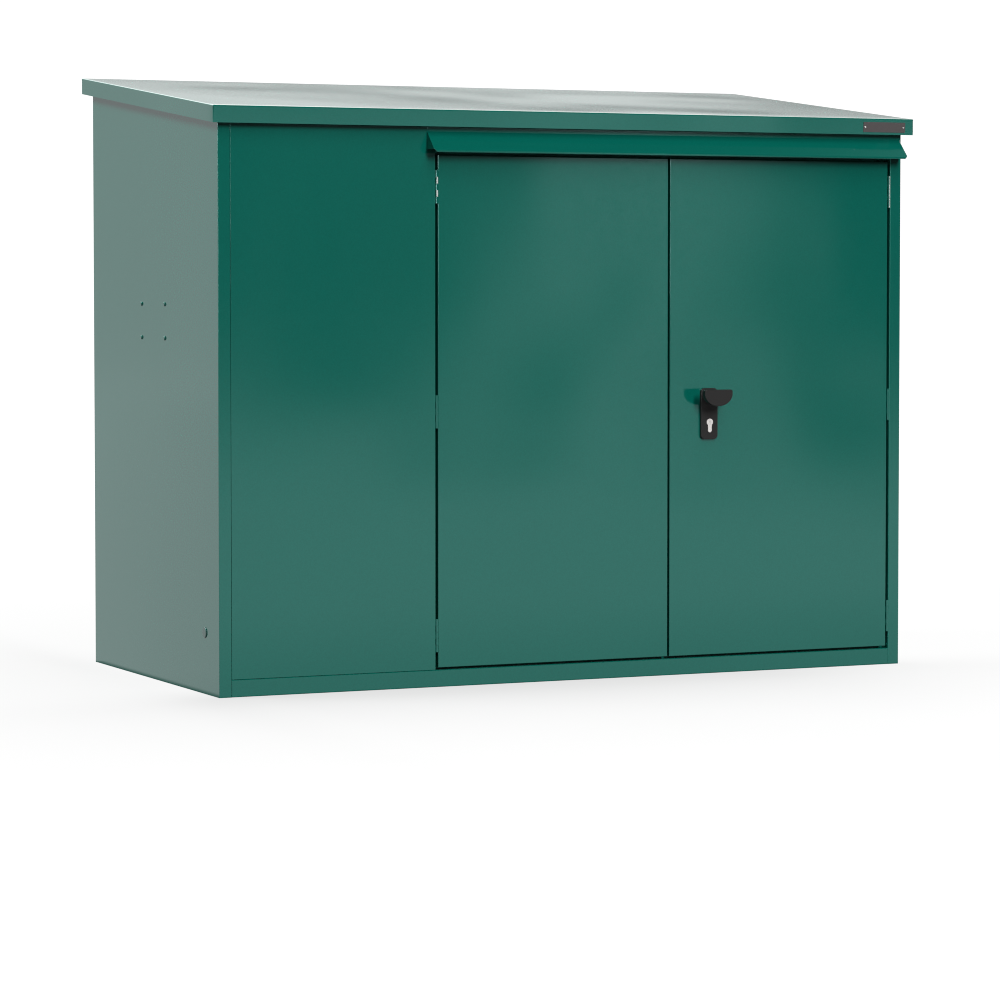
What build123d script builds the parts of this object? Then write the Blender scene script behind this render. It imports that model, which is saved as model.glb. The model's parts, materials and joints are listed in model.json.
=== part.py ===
from build123d import *
import os

# Steel storage shed: folded sheet walls, a mono-pitch roof that falls to the front,
# a plain front panel on the left and a pair of hinged doors beside it.
# Millimetres, +Z up, +X to the right, front at -Y. The origin is the middle of the
# footprint at ground level.

# ---- driving dimensions ----
WIDTH = 1790.0            # body, outside of the side walls
DEPTH = 876.0             # body, front face to back face
T = 1.2                   # sheet thickness
R_BEND = 0.9              # bend radius on the sheet's middle line
ROOF_FRONT_TOP = 1343.0   # top of the roof at its front edge
ROOF_BACK_TOP = 1447.0    # top of the roof at its back edge
EAVE_SIDE = 20.0          # roof overhang at the sides
EAVE_FRONT = 25.0         # and at front and back
FASCIA = 39.0             # height of the roof's folded edge
LEAN = 2.0                # the front and back edges lean in by this much at their foot
CORNER_RETURN = 30.0      # the side walls' return on the front and back faces
FOLD = 30.0               # depth of the folds that stiffen the panels
SEAM = 0.4                # gap between neighbouring panels
RAIL = 40.0               # height of the base rails
PANEL_FOOT = 40.6         # lower edge of the fixed panels
JAMB_LEFT = 537.0 - WIDTH / 2     # face of the left door's jamb
JAMB_RIGHT = WIDTH / 2 - CORNER_RETURN
HINGE_GAP = 7.0           # between a jamb and its door
MEETING_GAP = 5.0         # between the two doors
DOOR_WIDTH = (JAMB_RIGHT - JAMB_LEFT - 2 * HINGE_GAP - MEETING_GAP) / 2
DOOR_FOOT = 45.5
DOOR_TOP = 1239.0
DOOR_DEPTH = 24.0
HEADER_FOOT = 1245.0      # underside of the header over the doors
SKIN_R = 1.8              # outer bend radius of the doors
PANEL_R = 0.6             # and of the fixed panels

HINGE_CENTRES = (120.7, 643.0, 1165.3)
HINGE_LENGTH = 77.0
KNUCKLE_R = 3.0
PIN_R = 1.5
PIN_CLEARANCE = 0.05
PIN_AHEAD = 0.5           # hinge pin's distance in front of the door face
LEAF_T = 1.6
LEAF_DEPTH = 21.0
KNUCKLES = 5
KNUCKLE_GAP = 0.3

CANOPY_LEFT = 516.0 - WIDTH / 2
CANOPY_RIGHT = 1784.0 - WIDTH / 2
CANOPY_TOP = 1292.5       # where the slope leaves the wall
CANOPY_EDGE = 1249.0      # where the slope ends
CANOPY_END = 1252.0       # lower edge of the closed ends
CANOPY_LIP = 1245.0       # lower edge of the lip
CANOPY_REACH = 43.5

HANDLE_X = 1255.0 - WIDTH / 2
PLATE_W, PLATE_H, PLATE_T, PLATE_Z = 45.0, 123.0, 8.0, 627.8
PLATE_CORNER = 10.0
SPINDLE_Z = 673.5
CYLINDER_Z = 607.5        # centre of the cylinder's round part
KNOB_W, KNOB_H, KNOB_T, KNOB_FRONT = 75.0, 39.5, 13.0, 56.0
KNOB_SIDE = 10.0          # straight part of the knob's sides
KNOB_TOP = 686.7

XL, XR = -WIDTH / 2, WIDTH / 2
YF, YB = -DEPTH / 2, DEPTH / 2
ROOF_RUN = DEPTH + 2 * EAVE_FRONT
PITCH = (ROOF_BACK_TOP - ROOF_FRONT_TOP) / ROOF_RUN
TALL = 1500.0             # walls are drawn to this height and cut under the roof


def roof_top(y):
    return ROOF_FRONT_TOP + PITCH * (y - YF + EAVE_FRONT)


SLOPE = Vector(0, 1, PITCH).normalized()
UP = Vector(0, -PITCH, 1).normalized()
ROOF_T = T / UP.Z         # sheet thickness measured straight down
UNDER_ROOF = Plane(origin=(0, 0, roof_top(0) - ROOF_T), x_dir=(1, 0, 0), z_dir=(UP.X, UP.Y, UP.Z))

os.makedirs("parts", exist_ok=True)


def save(builder, label):
    builder.part.label = label
    export_step(builder.part, f"parts/{label}.step")


def folded(*points):
    """A bent sheet's section along its middle line, inside a sketch."""
    with BuildLine() as path:
        FilletPolyline(*points, radius=R_BEND)
    trace(path.line.edges(), line_width=T)


# ---- base ----
# Front rail: a channel between the side walls' returns, with a low lip behind the doors.
with BuildPart() as front_base_rail:
    with BuildSketch(Plane.YZ.offset(XL + CORNER_RETURN + SEAM)):
        folded((YF + 28, T / 2), (YF + T / 2, T / 2), (YF + T / 2, RAIL - T / 2), (YF + FOLD, RAIL - T / 2))
    extrude(amount=WIDTH - 2 * (CORNER_RETURN + SEAM))
    with BuildSketch(Plane.YZ.offset(JAMB_LEFT + 0.6)):
        with Locations((YF + FOLD - T / 2, RAIL + 7.5)):
            Rectangle(T, 15)
    extrude(amount=JAMB_RIGHT - JAMB_LEFT - 1.2)
save(front_base_rail, "front_base_rail")

with BuildPart() as back_base_rail:
    with BuildSketch(Plane.YZ.offset(XL + CORNER_RETURN + SEAM)):
        folded((YB - 28, T / 2), (YB - T / 2, T / 2), (YB - T / 2, RAIL - T / 2), (YB - FOLD, RAIL - T / 2))
    extrude(amount=WIDTH - 2 * (CORNER_RETURN + SEAM))
save(back_base_rail, "back_base_rail")

# Floor: a sheet tray turned down on all four sides, level with the rails.
FLOOR_Y0, FLOOR_Y1 = YF + FOLD, YB - FOLD
with BuildPart() as floor_panel:
    with BuildSketch(Plane.XY):
        Rectangle(WIDTH - 2 * T, FLOOR_Y1 - FLOOR_Y0)
    extrude(amount=RAIL)
    with BuildSketch(Plane.XY):
        Rectangle(WIDTH - 4 * T, FLOOR_Y1 - FLOOR_Y0 - 2 * T)
    extrude(amount=RAIL - T, mode=Mode.SUBTRACT)
save(floor_panel, "floor_panel")

# Two bearers under the floor, as long as the floor is deep.
with BuildPart() as floor_bearers:
    with BuildSketch(Plane.XZ.offset(-(FLOOR_Y0 + T))):
        with Locations((-300, 0), (300, 0)):
            with Locations((0, RAIL - 1.5 * T)):
                Rectangle(60, T)
            with Locations((-30 + T / 2, (RAIL - T) / 2), (30 - T / 2, (RAIL - T) / 2)):
                Rectangle(T, RAIL - T)
    extrude(amount=-(FLOOR_Y1 - FLOOR_Y0 - 2 * T))
save(floor_bearers, "floor_bearers")

# ---- walls ----
# Each side wall is one sheet with a return on the front and the back face.
BOLT_Y = (-81.0, 81.0)
BOLT_Z = (812.7, 892.7)
BOLT_HOLE_R = 3.3
PLUG_Y, PLUG_Z, PLUG_HOLE_R = 93.4 + YF, 141.9, 10.2


def side_wall_section():
    folded(
        (XL + CORNER_RETURN - T / 2, YF + FOLD),
        (XL + CORNER_RETURN - T / 2, YF + T / 2),
        (XL + T / 2, YF + T / 2),
        (XL + T / 2, YB - T / 2),
        (XL + CORNER_RETURN - T / 2, YB - T / 2),
        (XL + CORNER_RETURN - T / 2, YB - FOLD),
    )


def bolt_holes():
    with BuildSketch(Plane.YZ.offset(XL - 1)) as profile:
        with Locations(*[(y, z) for y in BOLT_Y for z in BOLT_Z]):
            Circle(BOLT_HOLE_R)
    extrude(profile.sketch, amount=T + 2, mode=Mode.SUBTRACT)


with BuildPart() as left_wall:
    with BuildSketch(Plane.XY):
        side_wall_section()
    extrude(amount=TALL)
    split(bisect_by=UNDER_ROOF, keep=Keep.BOTTOM)
    bolt_holes()
    with BuildSketch(Plane.YZ.offset(XL - 1)):
        with Locations((PLUG_Y, PLUG_Z)):
            Circle(PLUG_HOLE_R)
    extrude(amount=T + 2, mode=Mode.SUBTRACT)
save(left_wall, "left_wall")

with BuildPart() as plain_side_wall:
    with BuildSketch(Plane.XY):
        side_wall_section()
    extrude(amount=TALL)
    split(bisect_by=UNDER_ROOF, keep=Keep.BOTTOM)
    bolt_holes()

with BuildPart() as right_wall:
    mirror(plain_side_wall.part, about=Plane.YZ)
save(right_wall, "right_wall")


def panel_tray(x0, x1, z0, y_face, y_deep):
    """A sheet with folds back along both sides and the foot, open at the top."""
    mid_x = (x0 + x1) / 2
    mid_y = (y_face + y_deep) / 2
    inward = 1 if y_deep > y_face else -1
    with BuildSketch(Plane.XY.offset(z0)) as profile:
        with Locations((mid_x, mid_y)):
            Rectangle(x1 - x0, abs(y_deep - y_face))
    extrude(profile.sketch, amount=TALL - z0)
    with BuildSketch(Plane.XY.offset(z0 + T)) as profile:
        with Locations((mid_x, mid_y + inward * T)):
            Rectangle(x1 - x0 - 2 * T, abs(y_deep - y_face))
    extrude(profile.sketch, amount=TALL - z0, mode=Mode.SUBTRACT)


def round_face_edges(builder, y_face, radius):
    edges = [
        e
        for e in builder.edges().filter_by(GeomType.LINE)
        if abs(e.center().Y - y_face) < 0.01 and e.length > 50 and abs((e @ 0).Y - (e @ 1).Y) < 0.01
    ]
    top = max(e.center().Z for e in edges)
    fillet([e for e in edges if e.center().Z < top - 1 or abs((e @ 0).Z - (e @ 1).Z) > 1], radius)


with BuildPart() as front_panel:
    panel_tray(XL + CORNER_RETURN + SEAM, JAMB_LEFT, PANEL_FOOT, YF, YF + FOLD)
    split(bisect_by=UNDER_ROOF, keep=Keep.BOTTOM)
    round_face_edges(front_panel, YF, PANEL_R)
save(front_panel, "front_panel")

with BuildPart() as back_panel_left:
    panel_tray(XL + CORNER_RETURN + SEAM, -SEAM / 2, PANEL_FOOT, YB, YB - FOLD)
    split(bisect_by=UNDER_ROOF, keep=Keep.BOTTOM)
    round_face_edges(back_panel_left, YB, PANEL_R)
save(back_panel_left, "back_panel_left")

with BuildPart() as back_panel_right:
    mirror(back_panel_left.part, about=Plane.YZ)
save(back_panel_right, "back_panel_right")

# ---- door frame ----
# Upright channels behind the doors' hinge edges; each stops its door and stands on the floor.
POST_BACK = YF + 60.0
with BuildPart() as left_door_post:
    with BuildSketch(Plane.XY.offset(RAIL)):
        folded(
            (JAMB_LEFT - 32, YF + FOLD + T / 2),
            (JAMB_LEFT + 19 - T / 2, YF + FOLD + T / 2),
            (JAMB_LEFT + 19 - T / 2, POST_BACK - T / 2),
            (JAMB_LEFT - 32, POST_BACK - T / 2),
        )
    extrude(amount=TALL - RAIL)
    split(bisect_by=UNDER_ROOF, keep=Keep.BOTTOM)
save(left_door_post, "left_door_post")

with BuildPart() as right_door_post:
    with BuildSketch(Plane.XY.offset(RAIL)):
        folded(
            (XR - T, YF + FOLD + T / 2),
            (JAMB_RIGHT - 19 + T / 2, YF + FOLD + T / 2),
            (JAMB_RIGHT - 19 + T / 2, POST_BACK - T / 2),
            (XR - T, POST_BACK - T / 2),
        )
    extrude(amount=TALL - RAIL)
    split(bisect_by=UNDER_ROOF, keep=Keep.BOTTOM)
save(right_door_post, "right_door_post")

# Header over the doors, with a stop lip that hangs behind their top edges.
with BuildPart() as door_header:
    with BuildSketch(Plane.YZ.offset(JAMB_LEFT + 0.6)):
        folded(
            (YF + T / 2, TALL),
            (YF + T / 2, HEADER_FOOT + T / 2),
            (YF + FOLD, HEADER_FOOT + T / 2),
        )
    extrude(amount=JAMB_RIGHT - JAMB_LEFT - 1.2)
    split(bisect_by=UNDER_ROOF, keep=Keep.BOTTOM)
    with BuildSketch(Plane.YZ.offset(JAMB_LEFT + 20)):
        with Locations((YF + FOLD + T / 2, HEADER_FOOT - 10 + T / 2)):
            Rectangle(T, 20 + T)
    extrude(amount=JAMB_RIGHT - JAMB_LEFT - 40)
save(door_header, "door_header")

# Rain canopy: an upstand on the header, a sloping face, a short lip and closed ends.
NOTCH = 8.0
END_Y = YF - (CANOPY_REACH - T) * (CANOPY_TOP - CANOPY_END) / (CANOPY_TOP - CANOPY_EDGE)
with BuildPart() as rain_canopy:
    with BuildSketch(Plane.YZ.offset(CANOPY_LEFT)):
        folded(
            (YF - T / 2, CANOPY_TOP + 32),
            (YF - T / 2, CANOPY_TOP),
            (YF - CANOPY_REACH + T / 2, CANOPY_EDGE),
            (YF - CANOPY_REACH + T / 2, CANOPY_LIP),
        )
    extrude(amount=CANOPY_RIGHT - CANOPY_LEFT)
    with BuildSketch(Plane.YZ.offset(CANOPY_LEFT)) as canopy_end:
        with BuildLine():
            Polyline(
                (YF, CANOPY_TOP),
                (END_Y, CANOPY_END),
                (YF, CANOPY_END),
                close=True,
            )
        make_face()
    extrude(amount=T)
    with BuildSketch(Plane.YZ.offset(CANOPY_RIGHT - T)):
        add(canopy_end.sketch_local)
    extrude(amount=T)
    with BuildSketch(Plane.XZ.offset(-(YF - 30))):
        for x, s in ((CANOPY_LEFT, 1), (CANOPY_RIGHT, -1)):
            with BuildLine():
                Polyline(
                    (x - s, CANOPY_END),
                    (x + s * 0.5, CANOPY_END),
                    (x + s * NOTCH, CANOPY_LIP - 1),
                    (x - s, CANOPY_LIP - 1),
                    close=True,
                )
            make_face()
    extrude(amount=20, mode=Mode.SUBTRACT)
save(rain_canopy, "rain_canopy")

# ---- roof ----
# One sheet with its four edges turned down, a little past square at the front and back;
# the corners are left open.
X0, X1 = XL - EAVE_SIDE, XR + EAVE_SIDE
Y0, Y1 = YF - EAVE_FRONT, YB + EAVE_FRONT
SLIT_FRONT, SLIT_SIDE = 1.5, 1.6
with BuildPart() as roof_panel:
    with BuildSketch(Plane.YZ.offset(X0)):
        with BuildLine():
            Polyline(
                (Y0, roof_top(Y0)), (Y1, roof_top(Y1)),
                (Y1 - LEAN, roof_top(Y1) - FASCIA), (Y0 + LEAN, roof_top(Y0) - FASCIA), close=True,
            )
        make_face()
    extrude(amount=X1 - X0)
    with BuildSketch(Plane.YZ.offset(X0 + T)):
        with BuildLine():
            Polyline(
                (Y0 + T, roof_top(Y0 + T) - ROOF_T), (Y1 - T, roof_top(Y1 - T) - ROOF_T),
                (Y1 - T - 2 * LEAN, roof_top(Y1) - 2 * FASCIA), (Y0 + T + 2 * LEAN, roof_top(Y0) - 2 * FASCIA), close=True,
            )
        make_face()
    extrude(amount=X1 - X0 - 2 * T, mode=Mode.SUBTRACT)
    fillet(
        [
            e
            for e in roof_panel.edges().filter_by(GeomType.LINE)
            if e.length > 500 and abs(e.center().Z - roof_top(e.center().Y)) < 0.01
        ],
        2.6,
    )
    with BuildSketch(Plane.YZ.offset(X0 - 1)):
        for y_in, y_out, zt in ((Y0 + SLIT_SIDE, Y0 - 1, roof_top(Y0)), (Y1 - SLIT_SIDE, Y1 + 1, roof_top(Y1))):
            with BuildLine():
                Polyline((y_in, zt - 3.2), (y_out, zt - 3.2), (y_out, zt - FASCIA - 3), (y_in, zt - FASCIA - 3), close=True)
            make_face()
    extrude(amount=SLIT_FRONT + 1, mode=Mode.SUBTRACT)
    with BuildSketch(Plane.YZ.offset(X1 - SLIT_FRONT)):
        for y_in, y_out, zt in ((Y0 + SLIT_SIDE, Y0 - 1, roof_top(Y0)), (Y1 - SLIT_SIDE, Y1 + 1, roof_top(Y1))):
            with BuildLine():
                Polyline((y_in, zt - 3.2), (y_out, zt - 3.2), (y_out, zt - FASCIA - 3), (y_in, zt - FASCIA - 3), close=True)
            make_face()
    extrude(amount=SLIT_FRONT + 1, mode=Mode.SUBTRACT)
save(roof_panel, "roof_panel")

# Two top-hat ribs stiffen the roof between the header and the back wall.
RIB_Y0, RIB_Y1 = YF + 33.0, YB - 33.0


def roof_rib(x):
    start = Plane(
        origin=(x, RIB_Y0, roof_top(RIB_Y0) - ROOF_T),
        x_dir=(1, 0, 0),
        z_dir=(SLOPE.X, SLOPE.Y, SLOPE.Z),
    )
    with BuildSketch(start) as profile:
        folded((-35, T / 2), (-20, T / 2), (-20, 25), (20, 25), (20, T / 2), (35, T / 2))
    extrude(profile.sketch, amount=(RIB_Y1 - RIB_Y0) / SLOPE.Y - 4)


with BuildPart() as roof_rib_left:
    roof_rib(-298.0)
save(roof_rib_left, "roof_rib_left")

with BuildPart() as roof_rib_right:
    roof_rib(298.0)
save(roof_rib_right, "roof_rib_right")

# ---- small fixed pieces ----
FASCIA_FACE = Plane(origin=(0, Y0, ROOF_FRONT_TOP), x_dir=(1, 0, 0), z_dir=(0, -FASCIA, -LEAN))
TAG_X0, TAG_X1 = 1669.0 + XL, 1787.0 + XL
TAG_LOW, TAG_HIGH = -33.2, -8.8          # measured down the roof's front edge
RIVET_X = (1674.6 + XL, 1781.4 + XL)
with BuildPart() as name_plate:
    with BuildSketch(FASCIA_FACE):
        with Locations(((TAG_X0 + TAG_X1) / 2, (TAG_LOW + TAG_HIGH) / 2)):
            RectangleRounded(TAG_X1 - TAG_X0, TAG_HIGH - TAG_LOW, 1.5)
    extrude(amount=1.0)
save(name_plate, "name_plate")

with BuildPart() as name_plate_rivets:
    for x in RIVET_X:
        with BuildSketch(FASCIA_FACE.offset(1.0)):
            with Locations((x, (TAG_LOW + TAG_HIGH) / 2)):
                Circle(2.0)
        extrude(amount=1.2)
    fillet(name_plate_rivets.faces().sort_by(Axis((0, 0, 0), FASCIA_FACE.z_dir))[-2:].edges(), 0.9)
save(name_plate_rivets, "name_plate_rivets")


def wall_bolts(side):
    """Four button-head bolts with nuts; side is -1 for the left wall, 1 for the right."""
    face = side * WIDTH / 2
    out = Plane(origin=(face, 0, 0), x_dir=(0, 1, 0), z_dir=(side, 0, 0)) if side > 0 else Plane(
        origin=(face, 0, 0), x_dir=(0, -1, 0), z_dir=(-1, 0, 0))
    spots = [(side * y, z) for y in BOLT_Y for z in BOLT_Z]
    with BuildSketch(out) as profile:
        with Locations(*spots):
            Circle(5.25)
    extrude(profile.sketch, amount=3.2)
    heads = [e for e in edges_of_ends(face + side * 3.2)]
    fillet(heads, 2.6)
    with BuildSketch(out) as profile:
        with Locations(*spots):
            Circle(3.0)
    extrude(profile.sketch, amount=-(T + 8))
    with BuildSketch(out.offset(-T)) as profile:
        with Locations(*spots):
            RegularPolygon(5.8, 6)
    extrude(profile.sketch, amount=-5)


def edges_of_ends(x):
    return [e for e in BuildPart._get_context(None).edges() if abs(e.center().X - x) < 0.01]


with BuildPart() as left_wall_bolts:
    wall_bolts(-1)
save(left_wall_bolts, "left_wall_bolts")

with BuildPart() as right_wall_bolts:
    wall_bolts(1)
save(right_wall_bolts, "right_wall_bolts")

# Round press-in plug low on the left wall.
with BuildPart() as cable_hole_plug:
    with BuildSketch(Plane(origin=(XL, PLUG_Y, PLUG_Z), x_dir=(0, -1, 0), z_dir=(-1, 0, 0))):
        Circle(12.7)
    extrude(amount=2.4)
    fillet(cable_hole_plug.faces().sort_by(Axis.X)[0].edges(), 1.8)
    with BuildSketch(Plane(origin=(XL, PLUG_Y, PLUG_Z), x_dir=(0, -1, 0), z_dir=(-1, 0, 0))):
        Circle(PLUG_HOLE_R)
    extrude(amount=-6)
save(cable_hole_plug, "cable_hole_plug")

# ---- doors ----
LEFT_PIN_X = JAMB_LEFT + HINGE_GAP / 2
RIGHT_PIN_X = JAMB_RIGHT - HINGE_GAP / 2
PIN_Y = YF - PIN_AHEAD
LEFT_X0 = JAMB_LEFT + HINGE_GAP
LEFT_X1 = LEFT_X0 + DOOR_WIDTH
RIGHT_X1 = JAMB_RIGHT - HINGE_GAP
RIGHT_X0 = RIGHT_X1 - DOOR_WIDTH


def door_tray(x0, x1):
    """A door skin with folds on all four sides."""
    mid_x = (x0 + x1) / 2
    height = DOOR_TOP - DOOR_FOOT
    with BuildSketch(Plane.XY.offset(DOOR_FOOT)) as profile:
        with Locations((mid_x, YF + DOOR_DEPTH / 2)):
            Rectangle(x1 - x0, DOOR_DEPTH)
    extrude(profile.sketch, amount=height)
    with BuildSketch(Plane.XY.offset(DOOR_FOOT + T)) as profile:
        with Locations((mid_x, YF + DOOR_DEPTH / 2 + T)):
            Rectangle(x1 - x0 - 2 * T, DOOR_DEPTH)
    extrude(profile.sketch, amount=height - 2 * T, mode=Mode.SUBTRACT)


def round_door(builder):
    front = builder.faces().sort_by(Axis.Y)[0]
    fillet(front.edges(), SKIN_R)


def cylinder_section(grow):
    """The lock cylinder's outline about its round part, grown by a clearance."""
    Circle(8.5 + grow)
    with Locations((0, -12.25)):
        Rectangle(10 + 2 * grow, 24.5 - 10)
    with Locations((0, -19.5)):
        Circle(5 + grow)


with BuildPart() as left_door:
    door_tray(LEFT_X0, LEFT_X1)
    round_door(left_door)
save(left_door, "left_door")

with BuildPart() as right_door:
    door_tray(RIGHT_X0, RIGHT_X1)
    round_door(right_door)
    with BuildSketch(Plane.XZ.offset(-(YF - 1))):
        with Locations((HANDLE_X, CYLINDER_Z)):
            cylinder_section(0.3)
        with Locations((HANDLE_X, SPINDLE_Z)):
            Circle(6)
    extrude(amount=-(T + 2), mode=Mode.SUBTRACT)
save(right_door, "right_door")


def door_stiffener(x):
    """A top-hat rib up the inside of a door."""
    with BuildSketch(Plane.XY.offset(DOOR_FOOT + T)) as profile:
        folded(
            (x - 45, YF + 1.5 * T), (x - 30, YF + 1.5 * T), (x - 30, YF + 20),
            (x + 30, YF + 20), (x + 30, YF + 1.5 * T), (x + 45, YF + 1.5 * T),
        )
    extrude(profile.sketch, amount=DOOR_TOP - DOOR_FOOT - 2 * T)


with BuildPart() as left_door_stiffener:
    door_stiffener((LEFT_X0 + LEFT_X1) / 2)
save(left_door_stiffener, "left_door_stiffener")

with BuildPart() as right_door_stiffener:
    door_stiffener((RIGHT_X0 + RIGHT_X1) / 2 + 40)
save(right_door_stiffener, "right_door_stiffener")

# ---- hinges ----
# Five-knuckle butt hinges. The frame leaf has the first, third and fifth knuckle and
# carries the pin; the door leaf has the second and fourth.
STEP = HINGE_LENGTH / KNUCKLES


def knuckle_spans(z_mid, odd):
    z0 = z_mid - HINGE_LENGTH / 2
    for i in range(KNUCKLES):
        if (i % 2 == 0) == odd:
            lo = z0 + i * STEP + (KNUCKLE_GAP / 2 if i else 0)
            hi = z0 + (i + 1) * STEP - (KNUCKLE_GAP / 2 if i < KNUCKLES - 1 else 0)
            yield lo, hi


def frame_leaf(pin_x, jamb_x, z_mid):
    side = 1 if pin_x > jamb_x else -1
    for lo, hi in knuckle_spans(z_mid, True):
        with BuildSketch(Plane.XY.offset(lo)) as profile:
            with Locations((pin_x, PIN_Y)):
                Circle(KNUCKLE_R)
            with Locations((jamb_x + side * LEAF_T / 2, (PIN_Y + YF + 6) / 2)):
                Rectangle(LEAF_T, YF + 6 - PIN_Y)
        extrude(profile.sketch, amount=hi - lo)
    with BuildSketch(Plane.XY.offset(z_mid - HINGE_LENGTH / 2)) as profile:
        with Locations((pin_x, PIN_Y)):
            Circle(PIN_R)
    extrude(profile.sketch, amount=HINGE_LENGTH)
    with BuildSketch(Plane.XY.offset(z_mid - HINGE_LENGTH / 2)) as profile:
        with Locations((jamb_x + side * LEAF_T / 2, (YF + 5 + YF + LEAF_DEPTH) / 2)):
            Rectangle(LEAF_T, LEAF_DEPTH - 5)
    extrude(profile.sketch, amount=HINGE_LENGTH)


def door_leaf(pin_x, edge_x, z_mid):
    side = 1 if pin_x > edge_x else -1
    for lo, hi in knuckle_spans(z_mid, False):
        with BuildSketch(Plane.XY.offset(lo)) as profile:
            with Locations((pin_x, PIN_Y)):
                Circle(KNUCKLE_R)
            with Locations((edge_x + side * LEAF_T / 2, (PIN_Y + YF + 6) / 2)):
                Rectangle(LEAF_T, YF + 6 - PIN_Y)
            with Locations((pin_x, PIN_Y)):
                Circle(PIN_R + PIN_CLEARANCE, mode=Mode.SUBTRACT)
        extrude(profile.sketch, amount=hi - lo)
    with BuildSketch(Plane.XY.offset(z_mid - HINGE_LENGTH / 2)) as profile:
        with Locations((edge_x + side * LEAF_T / 2, (YF + 5 + YF + LEAF_DEPTH) / 2)):
            Rectangle(LEAF_T, LEAF_DEPTH - 5)
    extrude(profile.sketch, amount=HINGE_LENGTH)


HEIGHTS = (("bottom", HINGE_CENTRES[0]), ("middle", HINGE_CENTRES[1]), ("top", HINGE_CENTRES[2]))
for side_name, pin_x, jamb_x, edge_x in (
    ("left", LEFT_PIN_X, JAMB_LEFT, LEFT_X0),
    ("right", RIGHT_PIN_X, JAMB_RIGHT, RIGHT_X1),
):
    for height_name, z_mid in HEIGHTS:
        with BuildPart() as hinge_frame_leaf:
            frame_leaf(pin_x, jamb_x, z_mid)
        save(hinge_frame_leaf, f"{side_name}_{height_name}_hinge_frame_leaf")
        with BuildPart() as hinge_door_leaf:
            door_leaf(pin_x, edge_x, z_mid)
        save(hinge_door_leaf, f"{side_name}_{height_name}_hinge_door_leaf")

# ---- lock and handle on the right door ----
with BuildPart() as handle_plate:
    with BuildSketch(Plane.XZ.offset(-YF)):
        with Locations((HANDLE_X, PLATE_Z)):
            RectangleRounded(PLATE_W, PLATE_H, PLATE_CORNER)
    extrude(amount=PLATE_T)
    fillet(handle_plate.faces().sort_by(Axis.Y)[0].edges(), 2.0)
    with BuildSketch(Plane.XZ.offset(-(YF + 1))):
        with Locations((HANDLE_X, CYLINDER_Z)):
            cylinder_section(0.3)
        with Locations((HANDLE_X, SPINDLE_Z)):
            Circle(4.08)
    extrude(amount=PLATE_T + 2, mode=Mode.SUBTRACT)
save(handle_plate, "handle_plate")

with BuildPart() as lock_cylinder:
    with BuildSketch(Plane.XZ.offset(-(YF + 14))):
        with Locations((HANDLE_X, CYLINDER_Z)):
            cylinder_section(0)
    extrude(amount=14 + PLATE_T + 1.5)
    with BuildSketch(Plane.XZ.offset(-(YF - PLATE_T - 1.5))):
        with Locations((HANDLE_X, CYLINDER_Z)):
            Rectangle(1.6, 8)
    extrude(amount=-5, mode=Mode.SUBTRACT)
save(lock_cylinder, "lock_cylinder")

CASE_Y1 = YF + 21.0
with BuildPart() as lock_case:
    with BuildSketch(Plane.XZ.offset(-(YF + T))):
        with Locations((HANDLE_X, 640)):
            Rectangle(60, 150)
    extrude(amount=-(CASE_Y1 - YF - T))
    with BuildSketch(Plane.XZ.offset(-(YF + T))):
        with Locations((HANDLE_X, CYLINDER_Z)):
            cylinder_section(0.3)
        with Locations((HANDLE_X, SPINDLE_Z)):
            Circle(6)
    extrude(amount=-16, mode=Mode.SUBTRACT)
save(lock_case, "lock_case")

# Half-moon knob: flat on top, round below, on a short neck with a round spindle.
with BuildPart() as handle_knob:
    with BuildSketch(Plane.XZ.offset(-(YF - KNOB_FRONT + KNOB_T))):
        with BuildLine():
            half = KNOB_W / 2
            Polyline(
                (HANDLE_X - half, KNOB_TOP - KNOB_SIDE), (HANDLE_X - half, KNOB_TOP),
                (HANDLE_X + half, KNOB_TOP), (HANDLE_X + half, KNOB_TOP - KNOB_SIDE),
            )
            EllipticalCenterArc(
                (HANDLE_X, KNOB_TOP - KNOB_SIDE), half, KNOB_H - KNOB_SIDE, start_angle=180, arc_size=180
            )
        make_face()
    extrude(amount=KNOB_T)
    fillet(handle_knob.edges().filter_by(Axis.Y).group_by(Axis.Z)[-1], 5)
    fillet(handle_knob.faces().sort_by(Axis.Y)[0].edges(), 2.0)
    with BuildSketch(Plane.XZ.offset(-(YF - KNOB_FRONT + KNOB_T))):
        with Locations((HANDLE_X, SPINDLE_Z)):
            Circle(9.8)
    extrude(amount=-(KNOB_FRONT - KNOB_T - PLATE_T - 0.3))
    with BuildSketch(Plane.XZ.offset(-(YF - PLATE_T - 0.3))):
        with Locations((HANDLE_X, SPINDLE_Z)):
            Circle(4.0)
    extrude(amount=-(PLATE_T + 0.3 + 12))
save(handle_knob, "handle_knob")
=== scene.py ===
import json
import math

import bpy
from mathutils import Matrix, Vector

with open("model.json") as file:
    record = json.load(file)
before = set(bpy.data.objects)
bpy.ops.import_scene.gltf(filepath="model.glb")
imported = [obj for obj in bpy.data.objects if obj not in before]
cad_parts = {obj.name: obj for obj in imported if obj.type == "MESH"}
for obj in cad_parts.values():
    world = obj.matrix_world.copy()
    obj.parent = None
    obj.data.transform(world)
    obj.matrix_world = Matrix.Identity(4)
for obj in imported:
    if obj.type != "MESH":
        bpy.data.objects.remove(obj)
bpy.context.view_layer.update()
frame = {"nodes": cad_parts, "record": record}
nodes = frame["nodes"]
scene = bpy.context.scene


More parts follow.
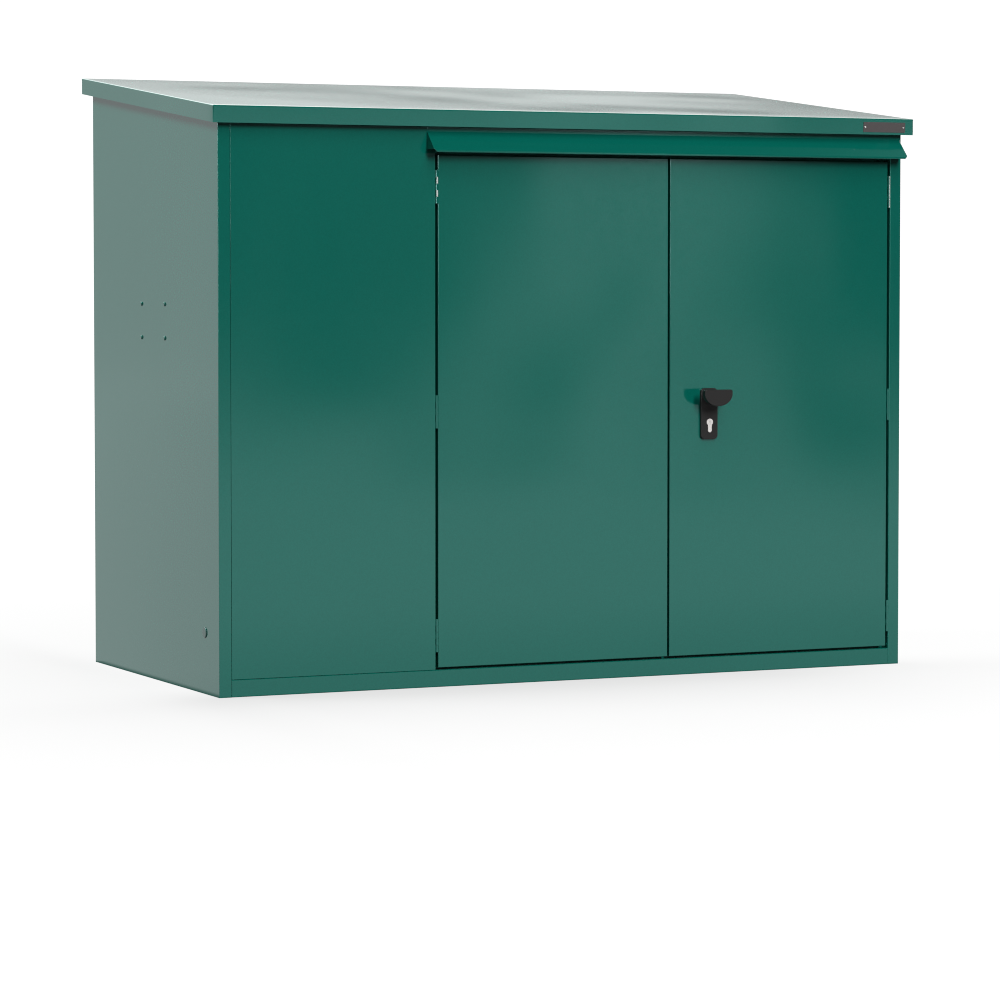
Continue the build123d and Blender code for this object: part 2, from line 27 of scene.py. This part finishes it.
# ---------------------------------------------------------------- node helpers
class Tree:
    """Small helper for building a node tree in reading order."""

    def __init__(self, tree):
        self.tree = tree
        tree.nodes.clear()

    def add(self, kind, **settings):
        node = self.tree.nodes.new(kind)
        for key, value in settings.items():
            setattr(node, key, value)
        return node

    def link(self, source, target):
        self.tree.links.new(source, target)

    def put(self, socket, value):
        if isinstance(value, bpy.types.NodeSocket):
            self.link(value, socket)
        else:
            socket.default_value = value

    def math(self, operation, a, b=0.0, c=0.0, clamp=False):
        node = self.add("ShaderNodeMath", operation=operation, use_clamp=clamp)
        self.put(node.inputs[0], a)
        self.put(node.inputs[1], b)
        self.put(node.inputs[2], c)
        return node.outputs[0]

    def vector(self, operation, a, b=(0, 0, 0)):
        node = self.add("ShaderNodeVectorMath", operation=operation)
        self.put(node.inputs[0], a)
        self.put(node.inputs[1], b)
        return node.outputs["Value" if operation in ("DOT_PRODUCT", "LENGTH", "DISTANCE") else "Vector"]

    def ramp(self, value, lo, hi, out_lo=0.0, out_hi=1.0, smooth=True):
        node = self.add("ShaderNodeMapRange", interpolation_type="SMOOTHSTEP" if smooth else "LINEAR")
        self.put(node.inputs["Value"], value)
        self.put(node.inputs["From Min"], lo)
        self.put(node.inputs["From Max"], hi)
        self.put(node.inputs["To Min"], out_lo)
        self.put(node.inputs["To Max"], out_hi)
        return node.outputs[0]

    def edge(self, value, middle, width):
        """A soft edge with long tails, from 0 to 1."""
        u = self.math("DIVIDE", self.math("SUBTRACT", value, middle), width)
        root = self.math("SQRT", self.math("ADD", self.math("MULTIPLY", u, u), 1.0))
        return self.math("ADD", self.math("MULTIPLY", self.math("DIVIDE", u, root), 0.5), 0.5)

    def noise(self, where, scale, detail=2.0, rough=0.5, warp=0.0, kind="3D"):
        node = self.add("ShaderNodeTexNoise", noise_dimensions=kind)
        self.put(node.inputs["Vector"], where)
        self.put(node.inputs["Scale"], scale)
        self.put(node.inputs["Detail"], detail)
        self.put(node.inputs["Roughness"], rough)
        self.put(node.inputs["Distortion"], warp)
        return node.outputs["Fac"]

    def mix(self, factor, a, b):
        node = self.add("ShaderNodeMix", data_type="RGBA")
        self.put(node.inputs[0], factor)
        self.put(node.inputs[6], a)
        self.put(node.inputs[7], b)
        return node.outputs[2]

    def bump(self, height, distance, strength=1.0, normal=None):
        node = self.add("ShaderNodeBump")
        self.put(node.inputs["Height"], height)
        self.put(node.inputs["Distance"], distance)
        self.put(node.inputs["Strength"], strength)
        if normal is not None:
            self.put(node.inputs["Normal"], normal)
        return node.outputs[0]

    def bevel(self, radius):
        node = self.add("ShaderNodeBevel", samples=4)
        node.inputs["Radius"].default_value = radius
        return node.outputs[0]


def new_material(name):
    material = bpy.data.materials.new(name)
    material.use_nodes = True
    tree = Tree(material.node_tree)
    out = tree.add("ShaderNodeOutputMaterial")
    shader = tree.add("ShaderNodeBsdfPrincipled")
    tree.link(shader.outputs[0], out.inputs[0])
    where = tree.add("ShaderNodeTexCoord").outputs["Object"]
    return material, tree, shader, where


def shade(color, k):
    return tuple(c * k for c in color[:3]) + (1.0,)


# ---------------------------------------------------------------- materials
GREEN = (0.0016, 0.122, 0.091, 1.0)


# Shallow dents of the large front sheets: x, z, half-widths along x and z in metres, height in millimetres.
FRONT_DENTS = [
    (-0.897, 0.194, 0.350, 0.323, -2.487),
    (-0.546, 0.651, 0.127, 0.097, 0.776),
    (-0.729, 0.915, 0.096, 0.220, -1.001),
    (-0.387, 0.427, 0.119, 0.110, 0.956),
    (-0.294, 0.921, 0.114, 0.139, 0.954),
    (-0.522, 1.358, 0.174, 0.350, -2.339),
    (-0.200, 0.634, 0.097, 0.201, -0.643),
    (-0.063, 0.810, 0.111, 0.096, -0.807),
    (-0.107, 1.202, 0.070, 0.085, 0.508),
    (-0.050, 0.452, 0.123, 0.078, 0.753),
    (0.156, 1.075, 0.144, 0.098, -1.314),
    (0.062, 0.927, 0.089, 0.084, -0.916),
    (0.262, 0.374, 0.109, 0.070, 0.561),
    (0.012, 0.641, 0.090, 0.100, 0.596),
    (0.377, 0.887, 0.114, 0.094, 0.726),
    (0.681, 0.459, 0.116, 0.149, 0.967),
    (0.369, 0.836, 0.125, 0.188, -1.261),
    (0.656, 1.167, 0.166, 0.075, 0.867),
    (0.806, 0.185, 0.276, 0.156, 2.462),
    (0.776, 0.650, 0.104, 0.089, -0.564),
    (0.759, 1.044, 0.077, 0.177, 0.875),
]


# And of the roof: x, y, half-widths along and across in metres, direction in radians, height in millimetres.
ROOF_DENTS = [
    (-0.766, -0.246, 0.391, 0.160, 2.423, 2.527),
    (-0.619, 0.260, 0.114, 0.089, 0.674, -0.768),
    (0.019, 0.036, 0.109, 0.222, 0.329, 1.923),
    (-0.713, 0.184, 0.311, 0.500, -2.359, 3.869),
    (0.347, -0.600, 0.485, 0.181, -1.087, -4.832),
    (0.838, 0.265, 0.080, 0.092, 0.393, -0.449),
    (0.354, -0.452, 0.139, 0.146, -1.012, 4.975),
    (0.351, 0.023, 0.342, 0.093, 0.831, -1.585),
    (0.614, -0.411, 0.596, 0.079, 1.017, 2.706),
    (0.539, 0.219, 0.290, 0.083, 0.059, 0.720),
    (0.142, -0.096, 0.161, 0.094, -0.115, -0.720),
    (-0.058, 0.108, 0.157, 0.082, -2.078, -1.401),
]


def front_dents(t, where):
    """Height field of the front's dents, in metres."""
    total = 0.0
    for cx, cz, wx, wz, height in FRONT_DENTS:
        node = t.add("ShaderNodeVectorMath", operation="MULTIPLY_ADD")
        t.put(node.inputs[0], where)
        t.put(node.inputs[1], (1 / wx, 0, 1 / wz))
        t.put(node.inputs[2], (-cx / wx, 0, -cz / wz))
        far = t.vector("DOT_PRODUCT", node.outputs[0], node.outputs[0])
        total = t.math("MULTIPLY_ADD", t.math("POWER", math.exp(-0.5), far), height * 0.001, total)
    return total


def roof_dents(t, where):
    """Height field of the roof sheet's dents, rolling off a little at its front and left edges."""
    total = 0.0
    for cx, cy, along, across, turn, height in ROOF_DENTS:
        c, s = math.cos(turn), math.sin(turn)
        u = t.math("ADD", t.vector("DOT_PRODUCT", where, (c / along, s / along, 0)), -(cx * c + cy * s) / along)
        v = t.math("ADD", t.vector("DOT_PRODUCT", where, (-s / across, c / across, 0)), (cx * s - cy * c) / across)
        far = t.math("MULTIPLY_ADD", u, u, t.math("MULTIPLY", v, v))
        total = t.math("MULTIPLY_ADD", t.math("POWER", math.exp(-0.5), far), height * 0.001, total)
    split = t.add("ShaderNodeSeparateXYZ")
    t.link(where, split.inputs[0])
    for axis, edge, reach, drop in ((1, -0.463, 0.016, 0.0013), (0, -0.915, 0.006, 0.0004)):
        near = t.math("DIVIDE", t.math("SUBTRACT", split.outputs[axis], edge), reach)
        total = t.math("MULTIPLY_ADD", t.math("POWER", math.exp(-1.0), near), -drop, total)
    return total


def powder_coat(name, color=GREEN, rough=0.065, wave=0.1, peel=1.0, shape=None, gloss=0.5, dull=None, bevel=0.0):
    """Semi-gloss powder coat on folded sheet: fine orange peel over a gently wavy sheet."""
    material, t, s, where = new_material(name)
    speck = t.noise(where, 330.0, 1.0, 0.6)
    cloud = t.noise(where, 2.2, 2.0, 0.5)
    k = t.math("ADD", t.ramp(speck, 0.3, 0.7, -0.055, 0.055, False), t.ramp(cloud, 0.3, 0.7, -0.015, 0.015, False))
    tone = t.mix(t.math("ADD", k, 0.5), shade(color, 0.5), shade(color, 1.5))
    t.put(s.inputs["Base Color"], tone)
    s.inputs["IOR"].default_value = 1.6
    s.inputs["Specular IOR Level"].default_value = gloss
    s.inputs["Specular Tint"].default_value = (0.6, 1.0, 0.98, 1.0)
    haze = t.noise(where, 30.0, 3.0, 0.6)
    sheen = t.ramp(haze, 0.3, 0.7, rough - 0.015, rough + 0.015, False)
    if dull:
        # a sanded strip beside the hinges, between two x
        split = t.add("ShaderNodeSeparateXYZ")
        t.link(where, split.inputs[0])
        strip = t.math("MULTIPLY", t.ramp(split.outputs[0], dull[0], dull[0] + 0.0004), t.ramp(split.outputs[0], dull[1] - 0.0004, dull[1], 1.0, 0.0))
        sheen = t.math("MULTIPLY_ADD", strip, 0.5, sheen)
    t.put(s.inputs["Roughness"], sheen)
    big = t.bevel(bevel) if bevel else None
    if wave > 0.0:
        big = t.bump(t.noise(where, 1.35, 1.0, 0.4), 0.02 * wave, 1.0, big)
    if shape:
        big = t.bump(shape(t, where), 1.0, 1.0, big)
    fine = t.noise(where, 320.0, 1.0, 0.5)
    t.put(s.inputs["Normal"], t.bump(fine, 0.00007 * peel, 1.0, big))
    return material


def zinc(name, color, rough, metal=1.0):
    """Zinc on steel: spangle in the colour and roughness, faint grain."""
    material, t, s, where = new_material(name)
    cell = t.add("ShaderNodeTexVoronoi", feature="F1")
    t.put(cell.inputs["Vector"], where)
    cell.inputs["Scale"].default_value = 90.0
    spangle = t.math("MULTIPLY", t.vector("LENGTH", cell.outputs["Color"]), 0.577)
    t.put(s.inputs["Base Color"], t.mix(spangle, shade(color, 0.82), shade(color, 1.08)))
    s.inputs["Metallic"].default_value = metal
    t.put(s.inputs["Roughness"], t.ramp(spangle, 0.0, 1.0, rough - 0.06, rough + 0.08, False))
    t.put(s.inputs["Normal"], t.bump(t.noise(where, 600.0, 2.0), 0.00004))
    return material


def satin(name, color, rough, grain=1.0, metal=0.0, ior=1.5, bevel=0.0):
    """Coated or moulded surface with a fine, even grain."""
    material, t, s, where = new_material(name)
    speck = t.noise(where, 900.0, 1.0, 0.6)
    t.put(s.inputs["Base Color"], t.mix(speck, shade(color, 0.8), shade(color, 1.2)))
    s.inputs["Metallic"].default_value = metal
    s.inputs["IOR"].default_value = ior
    t.put(s.inputs["Roughness"], t.ramp(t.noise(where, 120.0, 2.0), 0.3, 0.7, rough - 0.03, rough + 0.03, False))
    t.put(s.inputs["Normal"], t.bump(t.noise(where, 1400.0, 1.0), 0.00005 * grain, 1.0, t.bevel(bevel) if bevel else None))
    return material


green = powder_coat("green_powder_coat")
green_front = powder_coat("green_front_sheet", shape=front_dents)
green_roof = powder_coat("green_roof_sheet", peel=0.6, shape=roof_dents)
green_inner = powder_coat("green_inner_frame", rough=0.45, wave=0.0, gloss=0.2)
green_fold = powder_coat("green_folded_strip", wave=0.0)
green_canopy = powder_coat("green_canopy", wave=0.0, bevel=0.0014)
green_right = powder_coat("green_right_wall", dull=(0.8640, 0.8668))
inner_steel = zinc("galvanised_steel", (0.50, 0.52, 0.53, 1.0), 0.38, 0.55)
bright_zinc = zinc("zinc_steel", (0.80, 0.80, 0.78, 1.0), 0.30)


def zinc_paint_and_gap_shade(name, line):
    """Zinc hinge with green over the part left of an x: partly real paint, partly painted shade of the door gap."""
    material, t, s, where = new_material(name)
    split = t.add("ShaderNodeSeparateXYZ")
    t.link(where, split.inputs[0])
    ragged = t.ramp(t.noise(where, 260.0, 2.0), 0.3, 0.7, -0.0006, 0.0006)
    bare = t.ramp(t.math("ADD", split.outputs[0], ragged), line - 0.0006, line + 0.0006)
    # painted shade: the green left of the line also stands for the gap's shade on the knuckles
    t.put(s.inputs["Base Color"], t.mix(bare, shade(GREEN, 0.8), (0.80, 0.80, 0.78, 1.0)))
    t.put(s.inputs["Metallic"], t.math("MULTIPLY", bare, 0.4))
    t.put(s.inputs["Roughness"], t.ramp(bare, 0.0, 1.0, 0.45, 0.30, False))
    return material


left_hinge_zinc = zinc_paint_and_gap_shade("left_hinge_zinc", -0.3556)
right_hinge_zinc = zinc_paint_and_gap_shade("right_hinge_zinc", 0.8612)
black_coat = satin("black_coated_metal", (0.027, 0.026, 0.026, 1.0), 0.31, ior=1.24, bevel=0.0012)
nickel = satin("nickel", (0.88, 0.84, 0.82, 1.0), 0.24, 0.4, 0.8)
dark_plate = satin("dark_grey_plate", (0.062, 0.054, 0.055, 1.0), 0.40, 0.6)
green_plug = powder_coat("green_plastic", shade(GREEN, 0.45), 0.12, 0.0, 0.3)

FINISH = {
    "green_powder_coat": green,
    "galvanised_steel": inner_steel,
    "zinc_steel": bright_zinc,
    "black_coated_metal": black_coat,
    "nickel": nickel,
    "dark_grey_plate": dark_plate,
    "green_plastic": green_plug,
}
slot_of = {part["node"]: part["material_slot"] for part in frame["record"]["subparts"]}
for name, obj in nodes.items():
    finish = FINISH[slot_of[name]]
    if name.endswith("wall_bolts"):
        finish = green_fold
    elif name == "left_top_hinge_door_leaf":
        finish = left_hinge_zinc
    elif name.startswith("right_top_hinge"):
        finish = right_hinge_zinc
    elif name in ("front_panel", "left_door", "right_door"):
        finish = green_front
    elif name == "rain_canopy":
        finish = green_canopy
    elif name == "right_wall":
        finish = green_right
    elif name == "roof_panel":
        finish = green_roof
    elif name in ("door_header", "left_door_post", "right_door_post"):
        finish = green_inner
    elif finish is green and not name.endswith(("_wall", "_panel", "panel_left", "panel_right")):
        finish = green_fold
    obj.data.materials.clear()
    obj.data.materials.append(finish)


# ---------------------------------------------------------------- stage
def plane(name, corners, material):
    mesh = bpy.data.meshes.new(name)
    mesh.from_pydata([tuple(c) for c in corners], [], [(0, 1, 2, 3)])
    mesh.update()
    obj = bpy.data.objects.new(name, mesh)
    scene.collection.objects.link(obj)
    mesh.materials.append(material)
    return obj


# Radiances of the studio. A glossy ray and a diffuse ray may meet different ones, as with flags and gobos.
KEY = 52.2
OVERHEAD = 24.0
FRONT_TOP = 4.2
SIDE = 11.0
FLOOR = {"front": 1.18, "back": 0.91, "diffuse": 0.05}
WORLD = {
    "front": {"glossy": 0.065, "diffuse": 0.05},
    "below": {"glossy": 1.18, "diffuse": 0.05},
    "left": {"glossy": 0.86, "diffuse": 0.10},
    "back": {"glossy": 0.915, "diffuse": 1.00},
    "high": {"glossy": 4.00, "diffuse": 0.40},
    "zenith": {"glossy": 0.0, "diffuse": 0.30},
}


def by_ray(t, camera_shader, glossy, diffuse, emitter, socket):
    """One emitter for diffuse rays, one for the other rays, and what the camera sees."""
    shaders = []
    for level in (glossy, diffuse):
        node = t.add(emitter)
        t.put(node.inputs["Color"], (1, 1, 1, 1))
        t.put(node.inputs[socket], level)
        shaders.append(node.outputs[0])
    path = t.add("ShaderNodeLightPath")
    kind = t.add("ShaderNodeMixShader")
    t.link(path.outputs["Is Diffuse Ray"], kind.inputs[0])
    t.link(shaders[0], kind.inputs[1])
    t.link(shaders[1], kind.inputs[2])
    pick = t.add("ShaderNodeMixShader")
    t.link(path.outputs["Is Camera Ray"], pick.inputs[0])
    t.link(kind.outputs[0], pick.inputs[1])
    t.link(camera_shader, pick.inputs[2])
    return pick.outputs[0]


def floor_material():
    material = bpy.data.materials.new("pale_floor")
    material.use_nodes = True
    t = Tree(material.node_tree)
    out = t.add("ShaderNodeOutputMaterial")
    where = t.add("ShaderNodeTexCoord").outputs["Object"]
    tone = t.mix(t.noise(where, 3.0, 3.0), (0.057, 0.057, 0.057, 1), (0.063, 0.063, 0.063, 1))
    seen = t.add("ShaderNodeBsdfDiffuse")
    t.put(seen.inputs["Color"], tone)
    lift = t.add("ShaderNodeEmission")
    lift.inputs["Color"].default_value = (1, 1, 1, 1)
    split = t.add("ShaderNodeSeparateXYZ")
    t.link(where, split.inputs[0])
    # painted shade: the floor's glow is dimmed near the shed's foot, and the dimming dies away from it
    aside = [t.math("MAXIMUM", t.math("SUBTRACT", t.math("ABSOLUTE", split.outputs[k]), half), 0.0) for k, half in ((0, 0.895), (1, 0.438))]
    away = t.math("SQRT", t.math("MULTIPLY_ADD", aside[0], aside[0], t.math("MULTIPLY", aside[1], aside[1])))
    across = t.math("MULTIPLY", t.ramp(split.outputs[0], -1.15, -0.75, 0.25, 1.0), t.ramp(split.outputs[0], 0.4, 1.0, 1.0, 0.35))
    ahead = t.math("MULTIPLY", t.ramp(split.outputs[1], -0.60, -0.20, 0.20, 0.0), across)
    front_painted_shade = t.math("MULTIPLY", t.math("POWER", math.exp(-1 / 0.4), away), ahead)
    # painted contact shade: a narrow darker band right at the front foot
    front_painted_shade = t.math("MULTIPLY_ADD", t.math("POWER", math.exp(-1 / 0.07), away), t.math("MULTIPLY", ahead, 0.55), front_painted_shade)
    faint_painted_shade = t.math("MULTIPLY", t.math("POWER", math.exp(-1 / 1.8), away), t.ramp(split.outputs[0], -0.2, 0.8, 0.05, 0.02))
    left_painted_shade = t.math("MULTIPLY", t.math("POWER", math.exp(-1 / 0.6), away), t.ramp(split.outputs[0], -1.0, -0.8, 0.07, 0.0))
    faint_painted_shade = t.math("ADD", faint_painted_shade, left_painted_shade)
    glow_less_painted_shade = t.math("SUBTRACT", t.math("SUBTRACT", 0.96, front_painted_shade), faint_painted_shade)
    t.put(lift.inputs["Strength"], t.math("ADD", glow_less_painted_shade, t.ramp(away, 1.4, 4.0, 0.0, 0.12)))
    both = t.add("ShaderNodeAddShader")
    t.link(seen.outputs[0], both.inputs[0])
    t.link(lift.outputs[0], both.inputs[1])
    behind = t.ramp(split.outputs[1], -0.8, 0.2)
    # painted shade in reflections: the floor that glossy rays meet is dimmed towards the shed's front
    near = t.ramp(split.outputs[1], -2.4, -0.44, 1.0, 0.70, False)
    parts = []
    for zone, mask in (("front", t.math("MULTIPLY", near, t.math("SUBTRACT", 1.0, behind))), ("back", behind)):
        part = t.add("ShaderNodeMath", operation="MULTIPLY", name=zone + "_glossy")
        t.put(part.inputs[0], mask)
        t.put(part.inputs[1], FLOOR[zone])
        parts.append(part.outputs[0])
    # painted shade in reflections: the floor's glossy radiance falls to a dark line at the shed's foot
    glossy = t.math("MULTIPLY", t.math("ADD", parts[0], parts[1]), t.ramp(away, 0.0, 0.035, 0.2, 1.0))
    t.link(by_ray(t, both.outputs[0], glossy, FLOOR["diffuse"], "ShaderNodeEmission", "Strength"), out.inputs[0])
    material.cycles.emission_sampling = "NONE"
    return material


floor = plane(
    "floor",
    [(-20, -9.5, 0), (20, -9.5, 0), (20, 18, 0), (-20, 18, 0)],
    floor_material(),
)


def world_light():
    world = bpy.data.worlds.new("studio")
    scene.world = world
    world.use_nodes = True
    t = Tree(world.node_tree)
    out = t.add("ShaderNodeOutputWorld")
    direction = t.add("ShaderNodeTexCoord").outputs["Generated"]
    split = t.add("ShaderNodeSeparateXYZ")
    t.link(direction, split.inputs[0])
    x, y, z = split.outputs
    # a dark drape in front and to the right, white walls beside and behind, a dark ceiling
    elevation = t.math("MULTIPLY", t.math("ARCSINE", z), 180.0 / math.pi)
    azimuth = t.math("MULTIPLY", t.math("ARCTAN2", x, t.math("MULTIPLY", y, -1.0)), 180.0 / math.pi)
    above = t.edge(elevation, -2.18, 0.75)
    below = t.math("SUBTRACT", 1.0, above)
    drape = t.ramp(t.math("ADD", t.math("MULTIPLY", x, 0.62), t.math("MULTIPLY", y, -0.785)), 0.15, 0.55)
    rest = t.math("MULTIPLY", above, t.math("SUBTRACT", 1.0, drape))
    high = t.ramp(z, 0.30, 0.48)
    top = t.ramp(z, 0.74, 0.88)
    side = t.math("MULTIPLY", rest, t.math("SUBTRACT", 1.0, top))
    low = t.math("MULTIPLY", side, t.math("SUBTRACT", 1.0, high))
    left = t.ramp(t.math("ADD", t.math("MULTIPLY", x, -0.985), t.math("MULTIPLY", y, 0.17)), 0.10, 0.40)
    masks = {
        "front": t.math("MULTIPLY", above, drape),
        "below": below,
        "left": t.math("MULTIPLY", t.math("MULTIPLY", low, left), t.ramp(x, -0.35, -0.31, 1.08, 0.88)),
        "back": t.math("MULTIPLY", low, t.math("SUBTRACT", 1.0, left)),
        "high": t.math("MULTIPLY", side, high),
        "zenith": t.math("MULTIPLY", rest, top),
    }
    # a tall soft box in front on the right, with a dim wash beside it
    left_edge = t.edge(azimuth, 26.40, 1.05)
    right_edge = t.math("SUBTRACT", 1.0, t.edge(azimuth, 28.19, 0.20))
    box = t.math("MULTIPLY", left_edge, right_edge)
    wash = t.math("MULTIPLY", t.edge(azimuth, 23.83, 1.7), t.math("SUBTRACT", 1.0, left_edge))
    lamp = t.math("ADD", t.math("MULTIPLY", box, 1.41), t.math("MULTIPLY", wash, 0.31))
    lamp = t.math("MULTIPLY", lamp, t.math("MULTIPLY", above, t.ramp(elevation, 2.2, 3.4, 1.0, 0.0)))
    # a low bright window on the left, which only the bends pick up
    window = t.math("MULTIPLY", t.ramp(azimuth, -62.0, -56.0), t.ramp(azimuth, -44.0, -38.0, 1.0, 0.0))
    window = t.math("MULTIPLY", window, t.math("MULTIPLY", t.ramp(elevation, 0.0, 1.0), t.ramp(elevation, 3.0, 4.0, 1.0, 0.0)))
    lamp = t.math("MULTIPLY_ADD", window, 18.0, lamp)
    # the back wall gets lighter with height
    wall = t.math("MULTIPLY_ADD", t.edge(elevation, 8.45, 0.30), 0.608, 0.317)
    wall = t.math("ADD", wall, t.ramp(elevation, 11.5, 14.0, 0.0, 0.9))
    wall = t.math("MULTIPLY", wall, t.ramp(azimuth, 148.9, 151.6, 0.85, 1.0))
    level = {"glossy": lamp, "diffuse": 0.0}
    for zone, mask in masks.items():
        for kind in level:
            part = t.add("ShaderNodeMath", operation="MULTIPLY", name=zone + "_" + kind)
            t.put(part.inputs[0], t.math("MULTIPLY", mask, wall) if (zone, kind) == ("back", "glossy") else mask)
            t.put(part.inputs[1], WORLD[zone][kind])
            level[kind] = t.math("ADD", part.outputs[0], level[kind])
    seen = t.add("ShaderNodeBackground")
    seen.inputs["Color"].default_value = (1, 1, 1, 1)
    seen.inputs["Strength"].default_value = 1.1
    t.link(by_ray(t, seen.outputs[0], level["glossy"], level["diffuse"], "ShaderNodeBackground", "Strength"), out.inputs[0])
    world.cycles.sampling_method = "NONE"


world_light()


def area(name, place, target, width, height, strength, color=(1, 1, 1), diffuse=True, glossy=True):
    """A soft box whose radiance is strength, whatever its size."""
    light = bpy.data.lights.new(name, "AREA")
    light.shape = "RECTANGLE"
    light.size, light.size_y = width, height
    light.energy = strength * math.pi * width * height
    light.color = color
    obj = bpy.data.objects.new(name, light)
    obj.location = place
    obj.rotation_euler = (Vector(target) - Vector(place)).to_track_quat("-Z", "Y").to_euler()
    obj.visible_camera = False
    obj.visible_diffuse = diffuse
    obj.visible_glossy = glossy
    scene.collection.objects.link(obj)
    return obj


def toward(azimuth, elevation, distance, centre=(0.3, -0.44, 0.75)):
    """A point seen from the front in that direction: azimuth right of the front's normal."""
    a, e = math.radians(azimuth), math.radians(elevation)
    return (
        centre[0] + distance * math.sin(a) * math.cos(e),
        centre[1] - distance * math.cos(a) * math.cos(e),
        centre[2] + distance * math.sin(e),
    )


key = area("key_light", toward(2, 22.5, 16.0), (0.3, -0.44, 0.75), 1.85, 5.0, KEY)
overhead = area("overhead_soft_box", (-5.5, 2.0, 6.0), (-0.9, 0, 0.7), 2.4, 2.4, OVERHEAD)
front_top = area("front_top_soft_box", toward(-3, 50, 12.0), (0.3, -0.44, 1.0), 5.1, 8.6, FRONT_TOP, glossy=False)
side = area("side_soft_box", (9.0, 3.0, 2.0), (0.9, 0, 0.7), 3.0, 3.0, SIDE, glossy=False)

# ---------------------------------------------------------------- camera
camera_data = bpy.data.cameras.new("camera")
camera = bpy.data.objects.new("camera", camera_data)
scene.collection.objects.link(camera)
camera_data.sensor_width = 36.0
camera_data.lens = 132.654
camera_data.shift_x = 0.0
camera_data.shift_y = -0.05
camera_data.clip_end = 200.0
camera.location = (-3.8262, -8.2710, 0.9577)
camera.rotation_euler = (math.radians(90 - 2.6974), 0.0, math.radians(-24.8878))
scene.camera = camera
scene.view_settings.view_transform = "Standard"
scene.view_settings.look = "None"
scene.cycles.filter_width = 1.1
